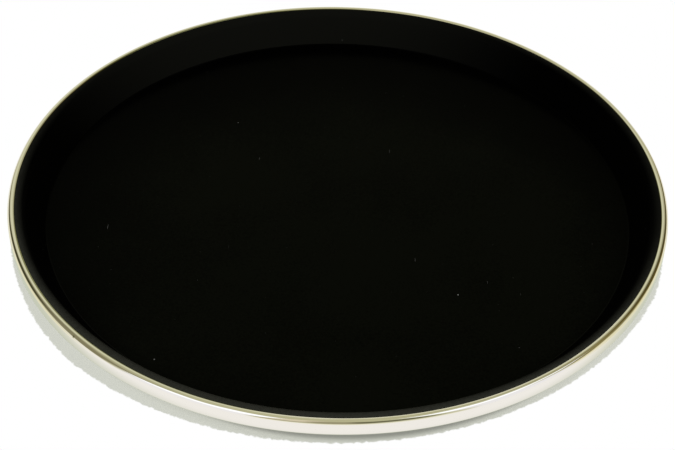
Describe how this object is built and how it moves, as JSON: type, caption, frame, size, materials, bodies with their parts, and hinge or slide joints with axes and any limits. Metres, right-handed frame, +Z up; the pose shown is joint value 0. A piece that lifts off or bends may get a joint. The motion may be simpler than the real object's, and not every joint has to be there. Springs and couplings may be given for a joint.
{
  "type": "round serving tray",
  "caption": "Round non-slip serving tray: pressed steel pan with a flared wall, beaded rim and turned-down skirt, lined with black rubber.",
  "frame": {"origin": "centre of the base's underside, where the tray stands on a table", "axes": "+Z up along the tray's axis of revolution, +X and +Y in the plane of the table"},
  "size_m": [0.355, 0.355, 0.021],
  "materials": {
    "polished_steel": "mirror-polished stainless steel with fine handling scratches",
    "adhesive": "cured dark contact adhesive",
    "black_rubber": "black rubber, fine matte grain on the floor, smooth satin on the wall and lip"
  },
  "bodies": {
    "root": {"steel_pan": "polished_steel", "bond_film": "adhesive", "rubber_liner": "black_rubber"}
  },
  "joints": []
}
